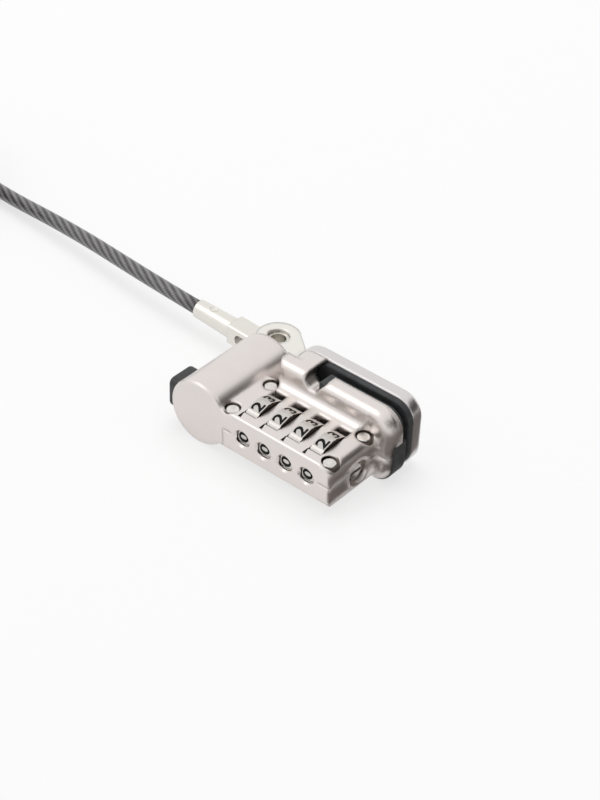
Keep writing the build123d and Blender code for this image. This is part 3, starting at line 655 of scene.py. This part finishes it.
@dataclass(frozen=True)
class CableSheath(Finish):
    """Twisted steel strands seen through a smoke-grey sheath, with painted shade in the grooves
    and a painted highlight on each strand's crown.
    """

    name: str
    strand: Colour
    shine: Colour
    groove: Colour
    strands: int
    lay_mm: float
    strand_stop: float = 0.35
    wires_each: int = 4
    wire_twist: float = 2.2
    crown_share: float = 0.72
    wire_share: float = 0.22
    cloud_share: float = 0.3
    darker: float = 0.1
    cloud_mm: float = 5.0
    crown_depth_mm: float = 0.05
    roughness: float = 0.38
    cloud_roughness: float = 0.12
    coat: float = 0.5
    coat_roughness: float = 0.18

    def build(self) -> bpy.types.Material:
        """Build the sheath's material.

        Returns:
            The material.
        """
        sheet = self.sheet()
        chart = sheet.node("ShaderNodeUVMap", {"uv_map": "run"})
        parts = sheet.node("ShaderNodeSeparateXYZ", None, {0: chart}, output="X")
        along = sheet.node("ShaderNodeSeparateXYZ", None, {0: chart}, output="Y")
        per_turn = 2 * math.pi * self.strands
        per_metre = per_turn / (self.lay_mm * MM)
        crown = (parts * per_turn - along * per_metre).sine() * 0.5 + 0.5
        wires = parts * (per_turn * self.wires_each) + along * (per_metre * self.wire_twist)
        cloud = sheet.noise(self.cloud_mm, detail=3.0)
        lit = crown * self.crown_share + wires.sine() * self.wire_share
        lit = (lit + cloud * self.cloud_share - self.darker).clamped()
        # painted shade in the grooves between strands and a painted highlight on their crowns
        stops = [(0.0, self.groove), (self.strand_stop, self.strand), (1.0, self.shine)]
        return sheet.surface(
            {
                "Base Color": sheet.node("ShaderNodeValToRGB", {"stops": stops}, {0: lit}),
                "Roughness": (self.roughness + cloud * self.cloud_roughness).clamped(),
                "Coat Weight": self.coat,
                "Coat Roughness": self.coat_roughness,
                "Normal": sheet.bump(crown, self.crown_depth_mm),
            }
        )


@dataclass(frozen=True)
class PrintedInk(Finish):
    """Black filled marking, slightly uneven."""

    name: str
    ink: Colour
    thin: Colour
    thin_from: float = 0.62
    thin_fade: float = 0.2
    uneven_mm: float = 0.3
    uneven_depth_mm: float = 0.006
    roughness: float = 0.5
    uneven_roughness: float = 0.2
    specular: float = 0.12

    def build(self) -> bpy.types.Material:
        """Build the ink's material.

        Returns:
            The material.
        """
        sheet = self.sheet()
        uneven = sheet.noise(self.uneven_mm, detail=3.0)
        thinned = uneven.above(self.thin_from, self.thin_fade)
        return sheet.surface(
            {
                "Base Color": sheet.mix(thinned, self.ink, self.thin),
                "Roughness": (self.roughness + uneven * self.uneven_roughness).clamped(),
                "Specular IOR Level": self.specular,
                "Normal": sheet.bump(uneven, self.uneven_depth_mm),
            }
        )


@dataclass(frozen=True)
class WovenStrap(Finish):
    """Woven hook-and-loop strap round the coil."""

    name: str
    base: Colour
    light: Colour
    yarn_mm: float
    warp_share: float = 0.3
    fuzz_share: float = 0.7
    lighter: float = 0.1
    fuzz_mm: float = 0.5
    weave_depth_mm: float = 0.12
    roughness: float = 0.75
    fuzz_roughness: float = 0.2

    def build(self) -> bpy.types.Material:
        """Build the strap's material.

        Returns:
            The material.
        """
        sheet = self.sheet()
        per_yarn = 2 * math.pi / self.yarn_mm
        warp = (sheet.axis_mm("X") * per_yarn).sine() * (sheet.axis_mm("Y") * per_yarn).sine()
        fuzz = sheet.noise(self.fuzz_mm, detail=5.0)
        weave = (warp * self.warp_share + fuzz * self.fuzz_share + self.lighter).clamped()
        return sheet.surface(
            {
                "Base Color": sheet.mix(weave, self.base, self.light),
                "Roughness": (self.roughness + fuzz * self.fuzz_roughness).clamped(),
                "Normal": sheet.bump(weave, self.weave_depth_mm),
            }
        )


@dataclass(frozen=True)
class StudioPaper(Finish):
    """Seamless pale paper under the object, lifted towards white where it is seen."""

    name: str
    tone: Colour
    lift: float
    tooth_mm: float = 0.9
    tooth_share: float = 0.99
    roughness: float = 0.9

    def build(self) -> bpy.types.Material:
        """Build the paper's material.

        Returns:
            The material.
        """
        sheet = self.sheet()
        tooth = sheet.noise(self.tooth_mm, detail=3.0)
        matt = {
            "Base Color": sheet.mix(tooth, scaled(self.tone, self.tooth_share), self.tone),
            "Roughness": self.roughness,
            "Specular IOR Level": 0.0,
        }
        paper = sheet.node("ShaderNodeBsdfPrincipled", None, matt)
        glow = sheet.node("ShaderNodeEmission", None, {"Color": WHITE, "Strength": 1.0})
        lifted = sheet.seen() * self.lift
        blend = sheet.node("ShaderNodeMixShader", None, {0: lifted, 1: paper, 2: glow})
        sheet.node("ShaderNodeOutputMaterial", None, {"Surface": blend})
        return sheet.block


class Palette(Enum):
    """The finishes that the lock's pieces and the stage are given."""

    CASTING = PlatedCasting(
        "pearl_nickel",
        plate=(0.775, 0.722, 0.695),
        shaded=(0.725, 0.675, 0.648),
        corner_mm=3.4,
        recess_spots=((-8.35, -4.75), (-9.35, -19.25), (23.95, -4.45), (24.15, -18.85)),
    )
    CLAMP = PlatedCasting(
        "clamp_nickel", plate=(0.70, 0.675, 0.67), shaded=(0.66, 0.635, 0.63), cream_to_mm=-13.0
    )
    FORK = PlatedCasting(
        "fork_nickel", plate=(0.80, 0.775, 0.725), shaded=(0.75, 0.725, 0.675), soft_mm=0.35
    )
    RIVET = TurnedMetal("rivet_bright", bright=(0.84, 0.81, 0.78), dull=(0.64, 0.61, 0.58))
    STEEL = TurnedMetal("pin_steel", bright=(0.66, 0.65, 0.64), dull=(0.40, 0.39, 0.38))
    SCREW = TurnedMetal(
        "screw_steel", bright=(0.70, 0.68, 0.65), dull=(0.32, 0.30, 0.28), roughness=0.25
    )
    BRASS = TurnedMetal(
        "ring_brass", bright=(0.72, 0.53, 0.24), dull=(0.48, 0.33, 0.13), roughness=0.34
    )
    DIAL = DialPlating(
        "dial_nickel",
        bright=(0.66, 0.63, 0.60),
        dark=(0.05, 0.038, 0.03),
        flat_reach_mm=7.75,
        axle_y_mm=-13.25,
        axle_z_mm=9.6,
    )
    BUTTON = MouldedPlastic("button_black", base=(0.022, 0.022, 0.023), worn=(0.038, 0.038, 0.039))
    PAD = PressedRubber("pad_black", base=(0.030, 0.031, 0.033), bloom=(0.052, 0.054, 0.056))
    SHEATH = CableSheath(
        "clear_sheath",
        strand=(0.105, 0.10, 0.105),
        shine=(0.30, 0.29, 0.295),
        groove=(0.016, 0.015, 0.017),
        strands=7,
        lay_mm=30.0,
    )
    INK = PrintedInk("digit_ink", ink=(0.008, 0.008, 0.008), thin=(0.02, 0.02, 0.02))
    STRAP = WovenStrap(
        "strap_weave", base=(0.012, 0.012, 0.013), light=(0.05, 0.05, 0.052), yarn_mm=0.9
    )
    ALLOY = TurnedMetal(
        "ferrule_grey",
        bright=(0.74, 0.74, 0.75),
        dull=(0.56, 0.56, 0.57),
        roughness=0.36,
        edge_mm=0.4,
    )
    PAPER = StudioPaper("studio_paper", tone=(0.97, 0.97, 0.97), lift=0.68)
    FLAG = PressedRubber("flag_felt", base=(0.05, 0.042, 0.036), bloom=(0.07, 0.06, 0.052))
    GREY = PressedRubber("flag_grey", base=(0.17, 0.15, 0.14), bloom=(0.20, 0.18, 0.17))

    def material(self) -> bpy.types.Material:
        """The finish's material, built once."""
        if self.name not in BUILT:
            BUILT[self.name] = self.value.build()
        return BUILT[self.name]


# ---- Shapes ------------------------------------------------------------------------------------
def linked(name: str, data: bpy.types.ID) -> bpy.types.Object:
    """Put an object in the scene.

    Args:
        name: its name.
        data: its mesh, curve, lamp or camera.

    Returns:
        The object.
    """
    made = bpy.data.objects.new(name, data)
    bpy.context.scene.collection.objects.link(made)
    return made


def solid(name: str, form: bmesh.types.BMesh, finish: Palette) -> bpy.types.Object:
    """Put a finished mesh in the scene.

    Args:
        name: its name.
        form: its shape, which is freed.
        finish: its finish.

    Returns:
        The object.
    """
    mesh = bpy.data.meshes.new(name)
    form.to_mesh(mesh)
    form.free()
    mesh.materials.append(finish.material())
    return linked(name, mesh)


def meshed(curve: bpy.types.Curve) -> bpy.types.Mesh:
    """Turn a curve or a text into a mesh.

    Args:
        curve: the curve, which is removed.

    Returns:
        The mesh.
    """
    holder = linked(curve.name, curve)
    bpy.context.view_layer.update()
    mesh = bpy.data.meshes.new_from_object(holder)
    bpy.data.objects.remove(holder)
    bpy.data.curves.remove(curve)
    return mesh


class Assembly:
    """A sub-assembly that dresses its CAD nodes and adds pieces of its own."""

    def dress(self, finish: Palette, *nodes: str) -> None:
        """Give CAD nodes a finish.

        Args:
            finish: the finish.
            nodes: names of the nodes.
        """
        for node in nodes:
            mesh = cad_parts[node].data
            mesh.materials.clear()
            mesh.materials.append(finish.material())
            LOG.info("dressed %s in %s", node, finish.name.lower())

    def add(
        self, name: str, form: bmesh.types.BMesh, finish: Palette, body: str, slot: str
    ) -> bpy.types.Object:
        """Make a finished piece from a bmesh.

        Args:
            name: the piece's name.
            form: its shape, which is freed.
            finish: its finish.
            body: the CAD body that it rides on.
            slot: name of a material slot; not used.

        Returns:
            The piece.
        """
        piece = solid(name, form, finish)
        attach(piece, body)
        LOG.info("made %s with %d faces on %s", name, len(piece.data.polygons), body)
        return piece


@dataclass
class FrontHousing(Assembly):
    """The two halves of the front casting with their fixings, pad and a black wedge beside each
    dial's window.
    """

    mark_width: float = 1.0 * MM
    mark_point: float = 0.14 * MM
    mark_height: float = 0.015 * MM
    mark_foot: tuple[float, float] = (-1.85 * MM, -21.0 * MM)
    mark_tip: tuple[float, float] = (-2.2 * MM, -18.7 * MM)
    deck_z: float = 16.0 * MM

    def build(self, dial_places: Sequence[float]) -> None:
        """Dress the castings and lay a thin black wedge beside each dial's window.

        Args:
            dial_places: middle of each dial along X.
        """
        self.dress(Palette.CASTING, "upper_housing", "bottom_cover")
        self.dress(Palette.RIVET, "cover_rivets")
        self.dress(Palette.STEEL, "dial_axle", "detent_plungers", "fence_bar")
        self.dress(Palette.PAD, "front_pad")
        self.dress(Palette.SCREW, "reset_screw")
        self.index_marks(dial_places)

    def index_marks(self, dial_places: Sequence[float]) -> None:
        """Add a thin black wedge on the deck beside each dial's window.

        Args:
            dial_places: middle of each dial along X.
        """
        form = bmesh.new()
        for place in dial_places:
            foot_x, foot_y = self.mark_foot
            tip_x, tip_y = self.mark_tip
            corners = [
                (place + foot_x - self.mark_width / 2, foot_y),
                (place + foot_x + self.mark_width / 2, foot_y),
                (place + tip_x + self.mark_point, tip_y),
                (place + tip_x - self.mark_point, tip_y),
            ]
            wedge = form.faces.new([form.verts.new((x, y, self.deck_z)) for x, y in corners])
            raised = bmesh.ops.extrude_face_region(form, geom=[wedge])
            top = [item for item in raised["geom"] if isinstance(item, bmesh.types.BMVert)]
            bmesh.ops.translate(form, verts=top, vec=(0, 0, self.mark_height))
        bmesh.ops.recalc_face_normals(form, faces=form.faces)
        self.add("index_marks", form, Palette.INK, "lock_body", "nickel_casting")


@dataclass
class DialSet(Assembly):
    """Four dials with a digit filled into each flat, over their code rings."""

    axle_y: float = -13.25 * MM
    axle_z: float = 9.6 * MM
    flat_reach: float = 7.75 * MM
    digit_tall: float = 3.4 * MM
    zero_wide: float = 3.1 * MM
    ink_proud: float = 0.015 * MM
    digit_shift: tuple[float, float] = (-0.35 * MM, 0.05 * MM)
    stroke_offset: float = 0.026
    read_tilt: float = 4.0
    flats: int = 10
    dials: int = 4
    glyph_steps: int = 5
    glyph_depth: float = 0.002

    def places(self) -> list[float]:
        """Middle of each dial along X.

        Returns:
            One place for each dial, from the left.
        """
        found = []
        for index in range(self.dials):
            low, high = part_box(f"dial_{index + 1}")
            found.append((low.x + high.x) / 2)
        return found

    def build(self) -> None:
        """Dress the dials and rings and give each dial its digits."""
        glyphs = self.glyphs()
        for index, place in enumerate(self.places()):
            self.dress(Palette.DIAL, f"dial_{index + 1}")
            self.dress(Palette.BRASS, f"code_ring_{index + 1}")
            form = bmesh.new()
            for digit, glyph in enumerate(glyphs):
                turned = glyph.copy()
                turned.transform(self.seat(place, digit))
                form.from_mesh(turned)
                bpy.data.meshes.remove(turned)
            dial = f"dial_{index + 1}"
            self.add(f"dial_digits_{index + 1}", form, Palette.INK, dial, "dial_plating")
        for glyph in glyphs:
            bpy.data.meshes.remove(glyph)

    def seat(self, place: float, digit: int) -> Matrix:
        """Place of a digit on its flat.

        Args:
            place: middle of the dial along X.
            digit: the digit, which is also its flat's count from the front.

        Returns:
            The matrix from the glyph's plane to the flat.
        """
        rise = math.radians(self.read_tilt + digit * 360 / self.flats)
        normal = Vector((0, -math.cos(rise), math.sin(rise)))
        upright = Vector((-1, 0, 0))
        sideways = upright.cross(normal)
        middle = Vector((place, self.axle_y, self.axle_z))
        middle += normal * (self.flat_reach + self.ink_proud)
        middle += sideways * self.digit_shift[0] + upright * self.digit_shift[1]
        turn = Matrix((sideways, upright, normal)).transposed().to_4x4()
        return Matrix.Translation(middle) @ turn

    def glyphs(self) -> list[bpy.types.Mesh]:
        """Mesh of each digit, centred on the origin at its real size.

        Returns:
            Ten meshes, from 0 to 9.
        """
        made = []
        tall = wide = 1.0
        for digit in range(self.flats):
            text = bpy.data.curves.new(f"glyph_{digit}", "FONT")
            text.body = str(digit)
            text.resolution_u = self.glyph_steps
            text.offset = self.stroke_offset
            text.extrude = self.glyph_depth
            mesh = meshed(text)
            across = [vertex.co.x for vertex in mesh.vertices]
            height = [vertex.co.y for vertex in mesh.vertices]
            if digit == 0:
                tall = self.digit_tall / (max(height) - min(height))
                wide = self.zero_wide / (max(across) - min(across))
            centre = ((max(across) + min(across)) / 2, (max(height) + min(height)) / 2)
            shift = Matrix.Translation((-centre[0], -centre[1], 0))
            deep = self.ink_proud / self.glyph_depth
            mesh.transform(Matrix.Diagonal((wide, tall, deep, 1)) @ shift)
            made.append(mesh)
        return made


@dataclass
class ButtonSet(Assembly):
    """Push button on the barrel with its latch plate."""

    def build(self) -> None:
        """Dress the button and the latch."""
        self.dress(Palette.BUTTON, "push_button")
        self.dress(Palette.STEEL, "latch_plate")


@dataclass
class RearClamp(Assembly):
    """Rear jaw with its pad, and the spindle that it turns on."""

    def build(self) -> None:
        """Dress the jaw, the pad and the spindle's parts."""
        self.dress(Palette.CLAMP, "rear_jaw")
        self.dress(Palette.PAD, "rear_pad")
        self.dress(Palette.STEEL, "spindle", "spindle_washer", "spindle_clip")
        self.dress(Palette.FORK, "fork_pin")


@dataclass
class CableRun(Assembly):
    """Steel cable from the fork through its stored coil to the end loop."""

    radius: float = 2.2 * MM
    length: float = 1.8
    sides: int = 16
    coil_centre: tuple[float, float] = (-178.55 * MM, 4.57 * MM)
    turn_reaches: tuple[float, float] = (25.2 * MM, 20.8 * MM)
    layers: int = 5
    turn_points: int = 18
    first_bearing: float = 78.906
    last_turn_short: float = 48.9
    shift_over: float = 40.0
    spline_order: int = 3
    spline_steps: int = 6
    least_step: float = 0.2 * MM
    lead: tuple[Point, ...] = (
        (-54.52, 16.92, 7.25),
        (-74.50, 17.80, 7.25),
        (-112.2, 22.4, 5.6),
        (-148.2, 24.3, 3.2),
        (-173.7, 29.3, 2.2),
    )
    tail: tuple[Point, ...] = (
        (-161.3, 25.2, 9.0),
        (-171.5, 33.2, 9.0),
        (-184.5, 36.2, 6.0),
        (-199.5, 33.6, 3.1),
        (-220.0, 23.9, 3.1),
        (-249.5, 34.3, 2.2),
        (-268.5, 21.9, 2.2),
        (-270.0, -2.0, 2.2),
        (-251.5, -16.8, 2.2),
        (-229.0, -9.4, 2.2),
        (-217.9, 19.3, 3.1),
        (-197.4, 29.0, 3.1),
    )

    def build(self) -> None:
        path = self.centreline()
        tube = self.tube(path)
        cable = self.add("security_cable", tube, Palette.SHEATH, "cable_fork", "cable_sheath")
        cable.data.shade_smooth()
        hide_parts("cable_lead", "cable_coil", "cable_loop")
        self.dress(Palette.STRAP, "coil_tie")
        self.dress(Palette.ALLOY, "loop_ferrule")
        self.dress(Palette.FORK, "cable_fork")

    def coil_points(self) -> list[Vector]:
        """Points of the coil's turns, which rise up the inside and come down the outside.

        Returns:
            The points, in the order that the cable passes them.
        """
        outer, inner = self.turn_reaches
        heights = [(2 * layer + 1) * self.radius for layer in range(self.layers)]
        cells = [(outer, heights[0])]
        cells += [(inner, height) for height in heights]
        cells += [(outer, height) for height in reversed(heights[1:])]
        step = 360 / self.turn_points
        whole = 360 * len(cells) - self.last_turn_short
        points = []
        bearing = 0.0
        while bearing <= whole + step / 4:
            turn = min(int(bearing // 360), len(cells) - 1)
            following = cells[min(turn + 1, len(cells) - 1)]
            shift_from = 360 * (turn + 1) - self.shift_over
            share = max(0.0, (bearing - shift_from) / self.shift_over)
            reach = cells[turn][0] + (following[0] - cells[turn][0]) * share
            height = cells[turn][1] + (following[1] - cells[turn][1]) * share
            way = math.radians(self.first_bearing + bearing)
            out = reach / math.cos(math.radians(step / 2))
            centre_x, centre_y = self.coil_centre
            x, y = centre_x + out * math.cos(way), centre_y + out * math.sin(way)
            points.append(Vector((x, y, height)))
            bearing += step
        return points

    def centreline(self) -> list[Vector]:
        """Smooth centre line of the whole cable.

        Returns:
            Points read from the route's spline.
        """
        route = [Vector(point) * MM for point in self.lead] + self.coil_points()
        route += [Vector(point) * MM for point in self.tail]
        curve = bpy.data.curves.new("cable_route", "CURVE")
        curve.dimensions = "3D"
        spline = curve.splines.new("NURBS")
        spline.points.add(len(route) - 1)
        for target, point in zip(spline.points, route):
            target.co = (*point, 1.0)
        spline.order_u = self.spline_order
        spline.use_endpoint_u = True
        spline.resolution_u = self.spline_steps
        line = meshed(curve)
        points = [vertex.co.copy() for vertex in line.vertices]
        bpy.data.meshes.remove(line)
        kept = [points[0]]
        for point in points[1:]:
            if (point - kept[-1]).length > self.least_step:
                kept.append(point)
        return kept

    def tube(self, path: Sequence[Vector]) -> bmesh.types.BMesh:
        """Round tube along a path, with its run and its turn kept as UVs.

        Args:
            path: centre line.

        Returns:
            The tube.
        """
        form = bmesh.new()
        chart = form.loops.layers.uv.new("run")
        spoke = form.verts.layers.int.new("spoke")
        run = form.verts.layers.float.new("run_length")
        way = (path[1] - path[0]).normalized()
        side = way.cross(Vector((0, 0, 1))).normalized()
        circle = bmesh.ops.create_circle(form, radius=self.radius, segments=self.sides)
        first = ring = circle["verts"]
        for index, vertex in enumerate(ring):
            vertex[spoke] = index
        pose = self.pose(path[0], way, side)
        bmesh.ops.transform(form, matrix=pose, verts=ring)
        edges = list(form.edges)
        passed = 0.0
        for index in range(1, len(path)):
            way = (path[min(index + 1, len(path) - 1)] - path[index - 1]).normalized()
            side = (side - way * side.dot(way)).normalized()
            passed += (path[index] - path[index - 1]).length
            following = self.pose(path[index], way, side)
            grown = bmesh.ops.extrude_edge_only(form, edges=edges)["geom"]
            ring = [item for item in grown if isinstance(item, bmesh.types.BMVert)]
            edges = [item for item in grown if isinstance(item, bmesh.types.BMEdge)]
            edges = [edge for edge in edges if all(vertex in ring for vertex in edge.verts)]
            bmesh.ops.transform(form, matrix=following @ pose.inverted(), verts=ring)
            for vertex in ring:
                vertex[run] = passed
            pose = following
        for face in form.faces:
            spokes = [loop.vert[spoke] for loop in face.loops]
            wraps = max(spokes) - min(spokes) > 1
            for loop, index in zip(face.loops, spokes):
                turned = self.sides if wraps and index == 0 else index
                loop[chart].uv = (turned / self.sides, loop.vert[run])
        form.faces.new(first)
        form.faces.new(ring)
        bmesh.ops.recalc_face_normals(form, faces=form.faces)
        return form

    @staticmethod
    def pose(place: Vector, way: Vector, side: Vector) -> Matrix:
        """Matrix that stands a circle across a path.

        Args:
            place: point of the path.
            way: direction of the path.
            side: a direction across it.

        Returns:
            The matrix.
        """
        up = way.cross(side)
        return Matrix.Translation(place) @ Matrix((side, up, way)).transposed().to_4x4()


@dataclass(frozen=True)
class Softbox:
    """An area lamp that faces the lock."""

    name: str
    place: Point
    size: tuple[float, float]
    power: float
    mirrored: bool

    def build(self) -> None:
        """Add the lamp to the scene, hidden from metal unless it is mirrored."""
        lamp = bpy.data.lights.new(self.name, "AREA")
        lamp.shape = "RECTANGLE"
        lamp.size, lamp.size_y = self.size
        lamp.energy = self.power
        holder = linked(self.name, lamp)
        holder.location = self.place
        holder.visible_glossy = self.mirrored
        holder.rotation_euler = (-Vector(self.place)).to_track_quat("-Z", "Y").to_euler()


@dataclass(frozen=True)
class Card:
    """A dark card that only shows as a soft dark band in the metal."""

    name: str
    finish: Palette
    size: tuple[float, float]
    place: Point
    faces_lock: bool

    def build(self) -> None:
        """Stand the card facing the lock, or lay it flat."""
        form = bmesh.new()
        bmesh.ops.create_grid(form, x_segments=1, y_segments=1, size=0.5)
        bmesh.ops.scale(form, vec=(*self.size, 1.0), verts=form.verts)
        place = Vector(self.place)
        turn = Matrix.Identity(4)
        if self.faces_lock:
            turn = place.to_track_quat("Z", "Y").to_matrix().to_4x4()
        bmesh.ops.transform(form, matrix=Matrix.Translation(place) @ turn, verts=form.verts)
        card = solid(self.name, form, self.finish)
        card.visible_camera = card.visible_diffuse = card.visible_shadow = False


@dataclass
class Studio:
    """Floor, world, lamps, dark cards and camera."""

    camera_place: Point = (274.65 * MM, -344.65 * MM, 360.9 * MM)
    camera_turn: float = 38.73
    camera_tilt: float = 51.65
    camera_roll: float = 2.52
    lens: float = 92.47
    sensor_width: float = 36.0
    clip_start: float = 0.01
    floor_reach: float = 3.0
    world_strength: float = 0.52
    softboxes: tuple[Softbox, ...] = (
        Softbox("key_softbox", (-0.6, -0.55, 0.95), (0.9, 0.8), power=1.9, mirrored=True),
        Softbox("top_softbox", (-0.25, 0.35, 1.25), (1.0, 1.0), power=7.5, mirrored=False),
    )
    cards: tuple[Card, ...] = (
        Card("camera_flag", Palette.FLAG, (0.5, 0.4), (0.53, -0.37, 0.43), faces_lock=True),
        Card("side_flag", Palette.GREY, (0.26, 0.22), (0.164, 0.05, 0.0006), faces_lock=False),
        Card("end_flag", Palette.GREY, (0.032, 0.036), (0.0445, -0.022, 0.0004), faces_lock=False),
        Card("rear_flag", Palette.FLAG, (1.1, 0.56), (0.56, 0.34, 0.29), faces_lock=True),
    )

    def build(self) -> None:
        """Set the whole stage."""
        self.floor()
        self.world()
        for fitting in (*self.softboxes, *self.cards):
            fitting.build()
        self.camera()
        bpy.context.scene.view_settings.view_transform = "Standard"

    def floor(self) -> None:
        """Lay the pale floor."""
        form = bmesh.new()
        bmesh.ops.create_grid(form, x_segments=1, y_segments=1, size=self.floor_reach)
        solid("studio_floor", form, Palette.PAPER)

    def world(self) -> None:
        """Light the scene softly from all round, white where it is seen."""
        sheet = Sheet(bpy.data.worlds.new("studio_world"))
        strength = sheet.seen() * (1.0 - self.world_strength) + self.world_strength
        light = sheet.node("ShaderNodeBackground", None, {"Color": WHITE, "Strength": strength})
        sheet.node("ShaderNodeOutputWorld", None, {"Surface": light})
        bpy.context.scene.world = sheet.block

    def camera(self) -> None:
        """Stand the camera above the lock's right front corner."""
        data = bpy.data.cameras.new("view_camera")
        data.lens = self.lens
        data.sensor_width = self.sensor_width
        data.clip_start = self.clip_start
        camera = linked("view_camera", data)
        turn = Matrix.Rotation(math.radians(self.camera_turn), 4, "Z")
        tilt = Matrix.Rotation(math.radians(self.camera_tilt), 4, "X")
        roll = Matrix.Rotation(math.radians(self.camera_roll), 4, "Z")
        camera.matrix_world = Matrix.Translation(self.camera_place) @ turn @ tilt @ roll
        bpy.context.scene.camera = camera


def main() -> None:
    """Build every sub-assembly in order."""
    logging.basicConfig(level=logging.INFO, format="%(name)s: %(message)s")
    Studio().build()
    CableRun().build()
    dials = DialSet()
    dials.build()
    FrontHousing().build(dials.places())
    ButtonSet().build()
    RearClamp().build()


if __name__ == "__main__":
    main()
